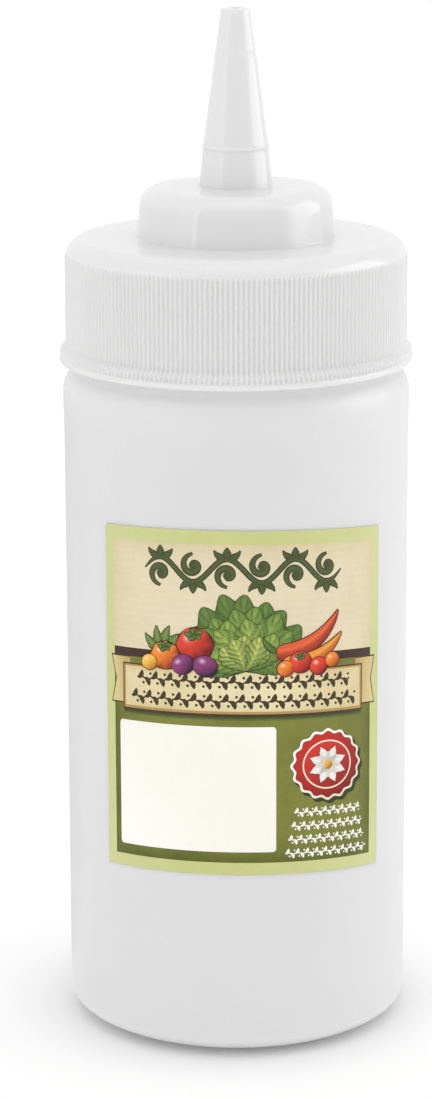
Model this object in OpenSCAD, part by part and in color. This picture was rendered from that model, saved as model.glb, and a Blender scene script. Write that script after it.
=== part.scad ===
// Squeeze sauce bottle in soft white polyethylene, with a screw-on cap and a cone spout.
// It stands upright on z = 0, its axis is the Z axis, and the label faces -Y.
// Lengths are in millimetres and angles in degrees.

/* [Bottle] */
// Outside diameter of the straight body
body_d = 68; // [66:0.2:80]
// Height of the shoulder above the foot
shoulder_h = 131.6; // [125:0.2:200]
// Thickness of the squeezable wall, shoulder and floor
wall_t = 1; // [0.8:0.1:1.6]
// Radius of the rounding between the body and the shoulder
shoulder_round = 3.5; // [2:0.5:6]
// Height of the rounding round the foot
foot_round = 4.4; // [3:0.2:8]
// How far that rounding reaches in under the bottle
foot_reach = 10.6; // [4:0.2:12]
// Width of the flat ring that the bottle stands on
foot_ring_w = 3; // [2:0.2:6]
// How far the middle of the floor is pushed up
push_up = 2; // [0.5:0.5:5]
// Height of the slightly proud band under the shoulder
band_h = 5; // [3:0.5:8]
// How far that band stands proud of the body
band_proud = 0.1; // [0.1:0.05:0.3]

/* [Neck and thread] */
// Outside diameter of the neck between the turns of its thread
neck_d = 60.4; // [56:0.2:62]
// Thickness of the neck's wall
neck_t = 1.9; // [1.2:0.1:2.5]
// Height of the neck above the shoulder
neck_h = 23.3; // [20:0.1:30]
// Rise of the thread in one turn
thread_pitch = 4.2; // [3.6:0.1:5]
// How many turns each thread goes round
thread_turns = 1.25; // [1:0.25:2]
// How far a thread ridge stands off its wall
thread_depth = 1.2; // [0.8:0.1:1.5]
// Clearance between the two threads, along the axis and across it
thread_gap = 0.3; // [0.2:0.05:0.5]
// Distance from the neck's rim down to its thread
thread_inset = 2; // [1:0.1:4]

/* [Cap] */
// Thickness of the skirt's wall behind its ribs
skirt_t = 1.5; // [1:0.1:2.5]
// Gap between the skirt's foot and the bottle's shoulder
skirt_gap = 2.4; // [1:0.1:4]
// Height of the bead round the skirt's foot
bead_h = 2.5; // [2:0.1:4]
// How far the bead stands out past the ribs
bead_proud = 1.2; // [0.5:0.1:2]
// Thickness of the cap's flat top
top_t = 1.8; // [1.2:0.1:2.5]
// Radius of the rounding between the skirt and the top
cap_round = 4; // [2:0.5:6]
// Number of grip ribs round the skirt
rib_count = 216; // [120:1:240]
// How far the ribs stand off the skirt
rib_depth = 0.3; // [0.2:0.05:0.5]
// Distance from the cap's top down to the ribs
rib_drop = 3; // [2:0.1:6]

/* [Boss and spout] */
// Diameter of the boss where it stands on the cap
boss_d = 38.8; // [30:0.2:46]
// Height of the boss above the cap's top
boss_h = 9.8; // [7:0.2:16]
// How far the side of the boss leans in towards its top
boss_lean = 0.9; // [0.1:0.05:1.5]
// Radius of the rounding round the top of the boss
boss_round = 3.5; // [2:0.5:6]
// Diameter of the cone spout where it stands on the boss
cone_d = 14.3; // [12:0.1:18]
// Diameter of the cone at the small ring where its taper steepens
ring_d = 12.7; // [10:0.1:13.5]
// Height of that ring above the boss
ring_h = 7.8; // [4:0.1:14]
// How far the ring stands proud of the cone
ring_proud = 0.2; // [0.1:0.05:0.4]
// Length of the spout above the boss
spout_l = 34.3; // [24:0.1:50]
// Thickness of the walls of the boss and the spout
spout_t = 1.5; // [1.2:0.1:2]
// Diameter of the outlet in the tip
outlet_d = 2.6; // [2:0.1:4]
// Length of the straight outlet
outlet_l = 3; // [2:0.5:6]
// Thickness of the wall round the outlet
tip_t = 1.5; // [1:0.1:2]
// Radius of the rounding on the rim of the tip
tip_round = 0.4; // [0.2:0.1:0.6]

/* [Seal] */
// Thickness of the soft sealing ring between the rim and the cap
seal_t = 1.2; // [0.8:0.1:2]
// Width of the sealing ring
seal_w = 3.2; // [2.4:0.1:4]
// Clearance above and below the sealing ring
seal_gap = 0.1; // [0.05:0.05:0.2]

/* [Label] */
// Angle that the label wraps round the body
label_wrap = 101; // [60:1:180]
// Angle that the middle of the label is turned from straight ahead
label_turn = 3; // [-10:0.1:10]
// Height of the label's lower edge above the foot
label_z = 38.5; // [15:0.5:45]
// Height of the label
label_h = 68.6; // [40:0.2:75]
// Thickness of the label's paper
label_t = 0.12; // [0.1:0.02:0.2]
// Thickness of the glue under the label
glue_t = 0.02; // [0.02:0.01:0.05]

/* [Hidden] */
$fn = 96;

// Straight steps in a quarter round, and in one turn of a thread
arc_steps = 10;
thread_steps = 48;
// Half width that a thread ridge gains for each millimetre towards its root
flank = 0.5;
// How far a thread's foot is sunk in its wall, so that the two are one solid
sink = 0.5;
// Angle over which each end of a thread fades into its wall
thread_fade = 24;
// How far one cut or joined shape runs past another
over = 1;

body_r = body_d / 2;
band_r = body_r + band_proud;
band_top = shoulder_h - shoulder_round;
foot_r = body_r - foot_reach;
rise_r = foot_r - foot_ring_w;

neck_r = neck_d / 2;
bore_r = neck_r - neck_t;
rim_z = shoulder_h + neck_h;

// Half width of both threads at mid depth, which leaves thread_gap between their flanks
ridge_half = (thread_pitch / 2 - thread_gap * (1 - flank)) / 2;
thread_rise = thread_pitch * thread_turns;
thread_z = rim_z - thread_inset - ridge_half - flank * thread_depth / 2 - thread_rise;

skirt_in = neck_r + thread_depth + thread_gap;
skirt_r = skirt_in + skirt_t;
skirt_z = shoulder_h + skirt_gap;
rib_r = skirt_r + rib_depth;
bead_r = rib_r + bead_proud;
bead_top = skirt_z + bead_h;
bead_round = bead_h * 0.45;
bead_edge = bead_round / 2.5;
under_z = rim_z + seal_t + 2 * seal_gap;
cap_top = under_z + top_t;
rib_top = cap_top - rib_drop;

boss_r = boss_d / 2;
boss_top = cap_top + boss_h;
cone_r = cone_d / 2;
ring_r = ring_d / 2;
ring_z = boss_top + ring_h;
outlet_r = outlet_d / 2;
tip_r = outlet_r + tip_t;
tip_z = boss_top + spout_l;

// Points along an arc about c, from one angle to another, in the plane of radius and height.
// Where a height is given, the arc is part of an oval with half axes r and that height.
function arc(c, r, from, to, height = 0) =
    [for (i = [0:arc_steps]) let (a = from + (to - from) * i / arc_steps)
        [c[0] + r * cos(a), c[1] + (height > 0 ? height : r) * sin(a)]];

// Section of a thread ridge at turn angle a, always listed the same way round.
// side is 1 for a ridge that stands outwards and -1 for one that stands inwards.
function ridge_section(a, wall_r, side) =
    let (from_end = min(a, 360 * thread_turns - a),
         swell = min(1, 1.2 * from_end / thread_fade - 0.2),
         foot_half = ridge_half + flank * (thread_depth / 2 + sink),
         crest_half = ridge_half - flank * thread_depth / 2,
         foot = wall_r - side * sink,
         crest = wall_r + side * thread_depth * swell)
    [[foot, -side * foot_half], [crest, -side * crest_half],
     [crest, side * crest_half], [foot, side * foot_half]];

// Helical thread ridge on a round wall, right-handed, with its lower end at height z
module thread_ridge(wall_r, side, z) {
    steps = round(thread_turns * thread_steps);
    points = [for (i = [0:steps]) let (a = 360 * thread_turns * i / steps)
        for (p = ridge_section(a, wall_r, side))
            [p[0] * cos(a), p[0] * sin(a), z + thread_pitch * a / 360 + p[1]]];
    sides = [for (i = [0:steps - 1]) for (k = [0:3])
        let (a = 4 * i + k, b = 4 * i + (k + 1) % 4)
        for (f = [[a, b, b + 4], [a, b + 4, a + 4]]) f];
    start = [[3, 2, 1], [3, 1, 0]];
    finish = [for (f = [[0, 1, 2], [0, 2, 3]]) [for (v = f) v + 4 * steps]];
    polyhedron(points, concat(start, sides, finish));
}

// Outside of the body up to the shoulder, as a solid
module body_outside() {
    rotate_extrude()
        polygon(concat(
            [[0, shoulder_h], [0, push_up], [rise_r - push_up, push_up], [rise_r, 0]],
            arc([foot_r, foot_round], foot_reach, -90, 0, foot_round),
            [[body_r, band_top - band_h], [band_r, band_top - band_h + 2 * band_proud]],
            arc([band_r - shoulder_round, band_top], shoulder_round, 0, 90)));
}

// Room inside the body, one wall thickness in from its outside
module body_inside() {
    rotate_extrude()
        polygon(concat(
            [[0, shoulder_h - wall_t], [0, push_up + wall_t],
             [rise_r - push_up, push_up + wall_t], [rise_r, wall_t]],
            arc([foot_r, foot_round], foot_reach - wall_t, -90, 0, foot_round - wall_t),
            arc([body_r - shoulder_round, band_top], shoulder_round - wall_t, 0, 90)));
}

// Blow-moulded bottle with its threaded neck
module bottle() {
    color("ghostwhite") {
        difference() {
            union() {
                body_outside();
                translate([0, 0, band_top]) cylinder(r = neck_r, h = rim_z - band_top);
            }
            body_inside();
            translate([0, 0, band_top]) cylinder(r = bore_r, h = rim_z - band_top + over);
        }
        thread_ridge(neck_r, 1, thread_z);
    }
}

// Outside of the skirt, with the bead round its foot, and the flat top
module skirt_outside() {
    rotate_extrude()
        polygon(concat(
            [[0, cap_top], [0, skirt_z]],
            arc([bead_r - bead_edge, skirt_z + bead_edge], bead_edge, -90, 0),
            arc([bead_r - bead_round, bead_top - bead_round], bead_round, 0, 90),
            [[skirt_r, bead_top]],
            arc([skirt_r - cap_round, cap_top - cap_round], cap_round, 0, 90)));
}

// Ring of fine upright grip ribs between the bead and the rounded top edge
module grip_ribs() {
    half_step = 180 / rib_count;
    translate([0, 0, bead_top - bead_round])
        linear_extrude(height = rib_top - bead_top + bead_round)
            difference() {
                polygon([for (i = [0:2 * rib_count - 1])
                    let (r = i % 2 == 0 ? rib_r : skirt_r - rib_depth / 4)
                    [r * cos(i * half_step), r * sin(i * half_step)]]);
                circle(r = skirt_r - skirt_t / 2);
            }
}

// Outside of the round boss on the cap's top
module boss_outside() {
    lean_r = boss_r - boss_lean;
    rotate_extrude()
        polygon(concat(
            [[0, boss_top], [0, under_z], [boss_r, under_z], [boss_r, cap_top]],
            arc([lean_r - boss_round, boss_top - boss_round], boss_round, 0, 90)));
}

// Outside of the cone spout, with its small ring
module spout_outside() {
    rotate_extrude()
        polygon(concat(
            [[0, tip_z], [0, boss_top - spout_t], [cone_r, boss_top - spout_t], [cone_r, boss_top],
             [ring_r, ring_z - 2 * ring_proud], [ring_r + ring_proud, ring_z - ring_proud],
             [ring_r + ring_proud, ring_z + ring_proud], [ring_r, ring_z + 2 * ring_proud]],
            arc([tip_r - tip_round, tip_z - tip_round], tip_round, 0, 90)));
}

// Room inside the skirt, the boss and the cone, in that order
module cap_inside() {
    hollow_r = boss_r - boss_lean - spout_t;
    hollow_round = boss_round - spout_t;
    hollow_top = boss_top - spout_t;
    translate([0, 0, skirt_z - over]) cylinder(r = skirt_in, h = under_z - skirt_z + over);
    rotate_extrude()
        polygon(concat(
            [[0, hollow_top], [0, under_z - over], [hollow_r, under_z - over]],
            arc([hollow_r - hollow_round, hollow_top - hollow_round], hollow_round, 0, 90)));
    rotate_extrude()
        polygon([[0, hollow_top - over], [cone_r - spout_t, hollow_top - over],
                 [cone_r - spout_t, hollow_top], [outlet_r, tip_z - outlet_l],
                 [0, tip_z - outlet_l]]);
    translate([0, 0, tip_z - outlet_l - over]) cylinder(r = outlet_r, h = outlet_l + 2 * over);
}

// One-piece moulded cap: ribbed skirt, flat top, boss and cone spout, threaded inside.
// Its thread lies half a pitch below the neck's, so the two run past each other.
module cap() {
    color("white") {
        difference() {
            union() {
                skirt_outside();
                grip_ribs();
                boss_outside();
                spout_outside();
            }
            cap_inside();
        }
        thread_ridge(skirt_in, -1, thread_z - thread_pitch / 2);
    }
}

// Flat sealing ring that the cap presses on the neck's rim
module cap_seal() {
    color("whitesmoke")
        translate([0, 0, rim_z + seal_gap])
            difference() {
                cylinder(r = bore_r + seal_w, h = seal_t);
                translate([0, 0, -over]) cylinder(r = bore_r, h = seal_t + 2 * over);
            }
}

// Paper label, a thin curved sheet glued round the front of the body
module label() {
    color("olivedrab")
        rotate([0, 0, label_turn - label_wrap / 2 - 90])
            rotate_extrude(angle = label_wrap)
                translate([body_r + glue_t, label_z]) square([label_t, label_h]);
}

bottle();
cap();
cap_seal();
label();
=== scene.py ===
# %% [markdown]
# # A squeeze bottle with a screw-on cone spout
#
# The bottle is blow-moulded in soft white polyethylene, and its ribbed cap, boss and cone are one
# injection moulding. A printed paper label is glued round the front.
#
# The CAD model is loaded first and never moved. Everything made here sits in the same frame: +Z is up,
# the bottle stands on z = 0, and the label faces -Y. Shapes are worked out in millimetres and turned to
# metres in one place, where a mesh is made.

import math

import bpy
import numpy as np
from mathutils import Matrix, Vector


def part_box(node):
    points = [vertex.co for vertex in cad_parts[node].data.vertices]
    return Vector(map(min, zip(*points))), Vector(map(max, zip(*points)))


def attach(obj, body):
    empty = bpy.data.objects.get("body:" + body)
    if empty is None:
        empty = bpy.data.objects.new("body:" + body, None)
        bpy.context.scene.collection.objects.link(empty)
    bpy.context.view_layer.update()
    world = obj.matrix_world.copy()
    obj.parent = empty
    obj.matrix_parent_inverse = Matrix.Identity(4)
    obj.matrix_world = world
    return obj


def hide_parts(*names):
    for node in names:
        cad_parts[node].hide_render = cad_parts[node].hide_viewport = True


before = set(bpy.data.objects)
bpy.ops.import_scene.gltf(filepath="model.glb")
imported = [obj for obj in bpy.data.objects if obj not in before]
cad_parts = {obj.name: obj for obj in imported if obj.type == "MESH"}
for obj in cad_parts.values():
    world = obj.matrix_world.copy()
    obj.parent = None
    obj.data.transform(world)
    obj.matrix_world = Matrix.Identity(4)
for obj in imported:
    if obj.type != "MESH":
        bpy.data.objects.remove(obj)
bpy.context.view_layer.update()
MM = 0.001

# %% [markdown]
# ## Camera
#
# The bottle is seen from the front and a little above, through a long lens, so its sides stay nearly
# parallel while the round edges still open into ovals. The camera is turned a third of a degree, which
# sets the bottle slightly to the right of the middle.

# %% Camera
def add_object(name, data):
    """A new object that holds the data, linked to the scene."""
    made = bpy.data.objects.new(name, data)
    bpy.context.scene.collection.objects.link(made)
    return made


CAMERA_DISTANCE = 656.1     # along the floor, from the bottle's axis
CAMERA_HEIGHT = 259.1
CAMERA_PITCH = 14.04        # degrees that it looks down
CAMERA_YAW = 0.358          # degrees to the left
CAMERA_ROLL = -0.2
LENS, SENSOR = 111.0, 36    # focal length, and the sensor's long side


def place_camera():
    """Camera on the -Y side: tipped down by the pitch, then turned about Z by the yaw."""
    data = bpy.data.cameras.new("camera")
    data.lens = LENS
    data.sensor_width = SENSOR
    camera = add_object("camera", data)
    place = Matrix.Translation((0, -CAMERA_DISTANCE * MM, CAMERA_HEIGHT * MM))
    yaw = Matrix.Rotation(math.radians(CAMERA_YAW), 4, "Z")
    tip = Matrix.Rotation(math.radians(90 - CAMERA_PITCH), 4, "X")
    roll = Matrix.Rotation(math.radians(CAMERA_ROLL), 4, "Z")
    camera.matrix_world = place @ yaw @ tip @ roll
    bpy.context.scene.camera = camera
    return camera


bpy.context.scene.view_settings.view_transform = "Standard"
print("camera at", place_camera().matrix_world.translation)

# %% [markdown]
# ## Small helpers for colours and nodes
#
# Colours are written as the hex values that a screen shows. Blender's shaders work in linear light, so
# one function converts them. One more function adds a shader node and sets its properties. It fills its
# inputs with plain values or with the outputs of other nodes, as the shader's own inputs are filled too.

# %% Colour and node helpers
def linear(colour):
    """Linear RGBA of a hex colour: c / 12.92 for dark values, else ((c + 0.055) / 1.055) ** 2.4."""
    channels = np.array([int(colour[i:i + 2], 16) for i in (1, 3, 5)]) / 255
    dark = channels <= 0.04045
    light = np.where(dark, channels / 12.92, ((channels + 0.055) / 1.055) ** 2.4)
    return (*light.tolist(), 1.0)


def fill(tree, node, inputs):
    """Fill inputs with plain values, with outputs, or with other nodes, whose first output then counts."""
    for key, value in inputs.items():
        if isinstance(value, bpy.types.Node):
            value = value.outputs[0]
        if isinstance(value, bpy.types.NodeSocket):
            tree.links.new(value, node.inputs[key])
        else:
            node.inputs[key].default_value = value


def add_node(tree, kind, inputs=None, **settings):
    """Add a shader node of a kind, such as "Math", set its properties, then fill its inputs."""
    made = tree.nodes.new("ShaderNode" + kind)
    for key, value in settings.items():
        setattr(made, key, value)
    fill(tree, made, inputs or {})
    return made


def start_material(name):
    """A new material with its node tree and its Principled shader."""
    material = bpy.data.materials.new(name)
    material.use_nodes = True
    return material, material.node_tree, material.node_tree.nodes["Principled BSDF"]


print("white", linear("#FFFFFF")[:3], "mid grey", np.round(linear("#808080")[:3], 3))

# %% [markdown]
# ## Floor and light
#
# White plastic is best shown in a white room: light comes from all round, a little more from the right
# and from above. Here the world gives the even part, and three area lamps give the rest. The level is plain,
# so that a colour renders about as it is written and white plastic keeps its shading.
#
# What a glossy surface mirrors is a thing of its own. The cap shows the room round it: dark towards the
# camera, with a tall bright panel on the right and the thin bright frame of one on the left. Only rays
# that leave a glossy or a clear surface meet these, so the room can have them with no harsh light.

# %% World and lamps
WORLD_LIGHT = 1.0
MIRRORED = ((-46, 60, 0.2), (-51, -47, 2.2), (68, 118, 2.4))    # from and to in degrees, and the level there
MIRRORED_UP_TO = 38         # degrees above the floor at which they end
MIRRORED_BLUR = 3


def azimuth_and_height(tree, vector):
    """Azimuth from straight ahead, arctan2(x, -y) in radians, and height z of a direction or a place."""
    axes = add_node(tree, "SeparateXYZ", {0: vector})
    ahead = add_node(tree, "Math", {0: 0.0, 1: axes.outputs["Y"]}, operation="SUBTRACT")
    return add_node(tree, "Math", {0: axes, 1: ahead}, operation="ARCTAN2"), axes.outputs["Z"]


def soft_steps(tree, share, steps):
    """A share times one soft step for each (value, where the step is 0, where it is 1)."""
    for value, out, inside in steps:
        step = add_node(tree, "MapRange", {"Value": value, "From Min": out, "From Max": inside},
                        interpolation_type="SMOOTHSTEP")
        share = add_node(tree, "Math", {0: step, 1: share}, operation="MULTIPLY")
    return share


def light_world(strength):
    """Even light of a given strength, white to the camera, with upright bands in what surfaces mirror.

    A band's share is the product of three soft steps: past its left edge, before its right edge and below
    its upper edge. The mirrored level is 1 plus, for each band, its share times (its level - 1).
    """
    world = bpy.data.worlds.new("white_room")
    world.use_nodes = True
    tree = world.node_tree
    tree.nodes.clear()
    azimuth, height = azimuth_and_height(tree, add_node(tree, "TexCoord").outputs["Generated"])
    blur = math.radians(MIRRORED_BLUR)
    top = math.sin(math.radians(MIRRORED_UP_TO))
    mirrored = 1.0
    for start, end, level in MIRRORED:
        left, right = math.radians(start), math.radians(end)
        share = soft_steps(tree, level - 1, ((azimuth, left - blur, left + blur),
                                             (azimuth, right + blur, right - blur),
                                             (height, top + blur, top - blur)))
        mirrored = add_node(tree, "Math", {0: mirrored, 1: share}, operation="ADD")
    path = add_node(tree, "LightPath")
    clear = add_node(tree, "Math", {0: path.outputs["Is Glossy Ray"], 1: path.outputs["Is Transmission Ray"]},
                     operation="MAXIMUM")
    lit = add_node(tree, "MapRange", {"Value": clear, "To Min": strength, "To Max": mirrored}, clamp=False)
    seen = add_node(tree, "MapRange", {"Value": path.outputs["Is Camera Ray"], "To Min": lit, "To Max": 1.0},
                    clamp=False)
    room = add_node(tree, "Background", {"Strength": seen, "Color": (1, 1, 1, 1)})
    add_node(tree, "OutputWorld", {"Surface": room})
    bpy.context.scene.world = world


SOFTBOX_FACES = 0.1         # metres above the floor, on the bottle's axis


def add_softbox(name, azimuth, elevation, distance, size, watts):
    """Rectangular area lamp that faces the bottle, from a direction in degrees and a distance in metres."""
    data = bpy.data.lights.new(name, "AREA")
    data.shape = "RECTANGLE"
    data.size, data.size_y = size
    data.energy = watts
    lamp = add_object(name, data)
    turn = Matrix.Rotation(math.radians(azimuth), 4, "Z")
    tip = Matrix.Rotation(math.radians(90 - elevation), 4, "X")
    middle = Matrix.Translation((0, 0, SOFTBOX_FACES))
    lamp.matrix_world = middle @ turn @ tip @ Matrix.Translation((0, 0, distance))
    lamp.visible_camera = False


light_world(WORLD_LIGHT)
add_softbox("softbox_right", azimuth=97, elevation=10, distance=0.6, size=(0.5, 0.7), watts=0.5)
add_softbox("softbox_left", azimuth=-50, elevation=10, distance=0.6, size=(0.5, 0.7), watts=0.2)
add_softbox("softbox_top", azimuth=10, elevation=80, distance=1.2, size=(0.9, 0.9), watts=0.8)

# %% Floor
FLOOR_RADIUS = 6000
FLOOR_WHITE = "#FAFAFA"     # lit at the room's level, this is just white
SHADOW_REACH = (36, 130)    # millimetres from the axis, over which the camera's floor goes to plain white
FAR_LIFT = 0.12             # light of its own that the floor has past the shadow
PAINTED_SHADOW_GREY, PAINTED_SHADOW_REACH = "#F2F2F2", (50, 30)   # painted shadow: the camera's floor a touch greyer close to the foot, and where it sets in
PAINTED_LIGHT_UNDER_FOOT, PAINTED_LIGHT_REACH = 0.1, (31.5, 28)     # painted light: a glow that only the camera sees in the gap under the foot
FLAG_GREY = "#D0D0D0"
FLAG_FROM, FLAG_TO = (-178, -168), (-112, -125)  # degrees between which the flag sets in at either side
FLAG_END = (900, 700)       # millimetres from the axis between which it ends


def lay_floor():
    """A wide matt white disc at z = 0. Near the bottle it keeps the shadow as it is.

    Further out, a light of its own that only the camera sees lifts it to plain white. Under the foot's
    rounding a little of such light is painted light that softens the darkest gap, and close to the foot
    the camera sees the white a touch greyer, a painted shadow. Behind and to the left lies a grey flag that
    is seen only in what surfaces mirror. It draws the left outlines darker.
    """
    angle = np.linspace(0, 2 * np.pi, 96, endpoint=False)
    ring = np.stack([FLOOR_RADIUS * MM * np.cos(angle), FLOOR_RADIUS * MM * np.sin(angle), 0 * angle], 1)
    mesh = bpy.data.meshes.new("floor")
    mesh.from_pydata(ring.tolist(), [], [list(range(len(angle)))])
    floor = add_object("floor", mesh)
    material, tree, shader = start_material("white_paper_sweep")
    path = add_node(tree, "LightPath").outputs
    place = add_node(tree, "TexCoord").outputs["Object"]
    azimuth, _ = azimuth_and_height(tree, place)
    away = add_node(tree, "VectorMath", {0: place}, operation="LENGTH").outputs["Value"]
    flag = soft_steps(tree, path["Is Glossy Ray"], (
        (azimuth, *np.radians(FLAG_FROM)), (azimuth, *np.radians(FLAG_TO)),
        (away, *(v * MM for v in FLAG_END))))
    # Painted shadow: to the camera the floor turns greyer close to the foot.
    rim = soft_steps(tree, path["Is Camera Ray"], ((away, *(v * MM for v in PAINTED_SHADOW_REACH)),))
    white = add_node(tree, "Mix", {0: rim, 6: linear(FLOOR_WHITE), 7: linear(PAINTED_SHADOW_GREY)}, data_type="RGBA")
    white = add_node(tree, "Mix", {0: flag, 6: white.outputs[2], 7: linear(FLAG_GREY)}, data_type="RGBA")
    # The first part lifts the far floor to plain white; the second is painted light under the foot's
    # rounding.
    parts = [add_node(tree, "MapRange", {"Value": away, "From Min": start * MM, "From Max": end * MM,
                                         "To Max": most})
             for (start, end), most in ((SHADOW_REACH, FAR_LIFT), (PAINTED_LIGHT_REACH, PAINTED_LIGHT_UNDER_FOOT))]
    both = add_node(tree, "Math", {0: parts[0], 1: parts[1]}, operation="ADD")
    lift = add_node(tree, "Math", {0: path["Is Camera Ray"], 1: both}, operation="MULTIPLY")
    fill(tree, shader, {"Roughness": 1.0, "Specular IOR Level": 0.0, "Base Color": white.outputs[2],
                        "Emission Color": (1, 1, 1, 1), "Emission Strength": lift})
    floor.data.materials.append(material)
    return floor


print("floor", tuple(lay_floor().dimensions))

# %% [markdown]
# ## Turned shapes
#
# Bottle, cap and seal are all round, so each is an outline of radius and height carried once round the
# Z axis. An outline is a list of corners. Moulded plastic has no knife edges: every corner carries a
# fillet radius, which is also what catches the thin bright lines of light along the real edges.
#
# Each corner also says how finely the straight run before it is cut, how many points its rings have if
# not the outline's own count, and what is moulded on that wall, such as ribs or a thread.

# %% Outlines with rounded corners
ARC_STEP = 9.0              # degrees of turn in one step of a fillet


def corner(r, z, fillet=0.3, step=4.0, columns=None, wall="plain"):
    """One corner of an outline, with the facts about the run that arrives at it."""
    return {"place": np.array([r, z], float), "fillet": fillet, "step": step,
            "columns": 1 if r == 0 else columns, "wall": wall}


def fillet_points(before, here, after, radius):
    """Points of the arc that rounds a corner.

    The arc touches both runs at radius * tan(turn / 2) from the corner. Its points are the first touching
    point turned about the arc's centre in equal steps.
    """
    into = (here - before) / np.linalg.norm(here - before)
    out = (after - here) / np.linalg.norm(after - here)
    turn = math.atan2(into[0] * out[1] - into[1] * out[0], into @ out)
    if radius == 0 or abs(turn) < 0.02:
        return here[None, :]
    reach = radius * math.tan(abs(turn) / 2)
    start = here - reach * into
    side = np.array([-into[1], into[0]]) * np.sign(turn)
    centre = start + radius * side
    steps = max(2, math.ceil(math.degrees(abs(turn)) / ARC_STEP))
    angle = np.linspace(0, turn, steps + 1)
    spoke = start - centre
    return centre + np.stack([spoke[0] * np.cos(angle) - spoke[1] * np.sin(angle),
                              spoke[0] * np.sin(angle) + spoke[1] * np.cos(angle)], 1)


def trace_outline(corners, closed):
    """All points of an outline: an array of places (n, 2), with lists of their columns and walls.

    Straight runs are cut into equal pieces no longer than the corner's step.
    """
    count = len(corners)
    arcs = []
    for i, c in enumerate(corners):
        ends = not closed and i in (0, count - 1)
        arcs.append(c["place"][None, :] if ends else fillet_points(
            corners[i - 1]["place"], c["place"], corners[(i + 1) % count]["place"], c["fillet"]))
    places, columns, walls = [], [], []
    for i, c in enumerate(corners):
        if i or closed:
            start, end = arcs[i - 1][-1], arcs[i][0]
            cuts = max(1, math.ceil(np.linalg.norm(end - start) / c["step"]))
            share = np.arange(1, cuts)[:, None] / cuts
            run = start + (end - start) * share
            places.append(run)
            columns += [corners[i - 1]["columns"] if c["columns"] == 1 else c["columns"]] * len(run)
            walls += [c["wall"]] * len(run)
        places.append(arcs[i])
        columns += [c["columns"]] * len(arcs[i])
        walls += [c["wall"]] * len(arcs[i])
    return np.concatenate(places), columns, walls


square = trace_outline([corner(1, 0), corner(2, 0), corner(2, 1), corner(1, 1)], closed=True)
print("a rounded square has", len(square[0]), "points")

# %% [markdown]
# ### From rings to a mesh
#
# Fine grip ribs need many points round the skirt, and a slim spout needs few. Where a ring of one count
# meets a ring of a multiple of it, triangles fan from the coarse ring to the fine one, so the surface
# stays closed.

# %% Rings and faces
def ring_faces(low, n, high, m):
    """Faces between a ring of n points and the next ring of m points, where one count divides the other.

    Equal rings share quads. Otherwise each edge of the finer ring makes a triangle with the nearer end of
    the coarse edge beside it, and one triangle on each coarse edge fills the middle.
    """
    if n == m:
        i = np.arange(n)
        j = (i + 1) % n
        return np.stack([low + i, low + j, high + j, high + i], 1).tolist()
    coarse, fine = min(n, m), max(n, m)
    times = fine // coarse
    half = (times + 1) // 2
    i = np.arange(fine)
    near = (i // times + (i % times >= half)) % coarse
    following = (i + 1) % fine
    k = np.arange(coarse)
    middle = (k * times + half) % fine
    if n == coarse:
        fans = np.stack([low + near, high + following, high + i], 1)
        fills = np.stack([low + k, low + (k + 1) % coarse, high + middle], 1)
    else:
        fans = np.stack([low + i, low + following, high + near], 1)
        fills = np.stack([low + middle, high + (k + 1) % coarse, high + k], 1)
    return fans.tolist() + (fills.tolist() if coarse > 1 else [])


def turn_outline(corners, closed, count, moulded=None, angles=None):
    """Points and faces of an outline carried round the Z axis, with count points to a ring.

    A point is (r cos a, r sin a, z), with r the outline's radius plus what is moulded on that wall,
    moulded[wall](a, z). angles(n) gives the n angles of a ring, evenly spaced if left out.
    """
    places, columns, walls = trace_outline(corners, closed)
    columns = [n or count for n in columns]
    rings, faces, starts = [], [], []
    total = 0
    for (r, z), n, wall in zip(places, columns, walls):
        a = angles(n) if angles else np.arange(n) * 2 * np.pi / n
        full = r + (moulded[wall](a, z) if moulded and wall in moulded else 0 * a)
        rings.append(np.stack([full * np.cos(a), full * np.sin(a), z + 0 * a], 1))
        starts.append(total)
        total += n
    last = len(rings) if closed else len(rings) - 1
    for i in range(last):
        j = (i + 1) % len(rings)
        faces += ring_faces(starts[i], columns[i], starts[j], columns[j])
    return np.concatenate(rings), faces


def add_piece(name, points, faces, body, slot, material):
    """Mesh object at the origin from points in millimetres, smooth, riding on a body."""
    mesh = bpy.data.meshes.new(name)
    mesh.from_pydata((points * MM).tolist(), [], faces)
    mesh.polygons.foreach_set("use_smooth", np.ones(len(mesh.polygons), bool))
    mesh.materials.append(material)
    piece = add_object(name, mesh)
    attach(piece, body)
    triangles = sum(len(p.vertices) - 2 for p in mesh.polygons)
    print(f"{name}: {triangles} triangles")
    return piece


# %% [markdown]
# ### The thread
#
# A bottle thread is a low helical ridge. Seen as heights on a wall, a point belongs to the turn whose
# centre line is nearest, and the ridge's height there falls off on two rounded flanks. At both ends the
# ridge fades into the wall, as a moulded thread does so that the cap starts easily.

# %% Thread ridge as a height on a wall
PITCH = 4.2
THREAD_TURNS = 1.25
THREAD_DEPTH = 1.2
THREAD_HALF = 0.975         # half width at mid depth
THREAD_FLANK = 0.5          # half width gained for each millimetre towards the root
THREAD_FADE = 24 / 360      # turns over which each end fades


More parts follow.
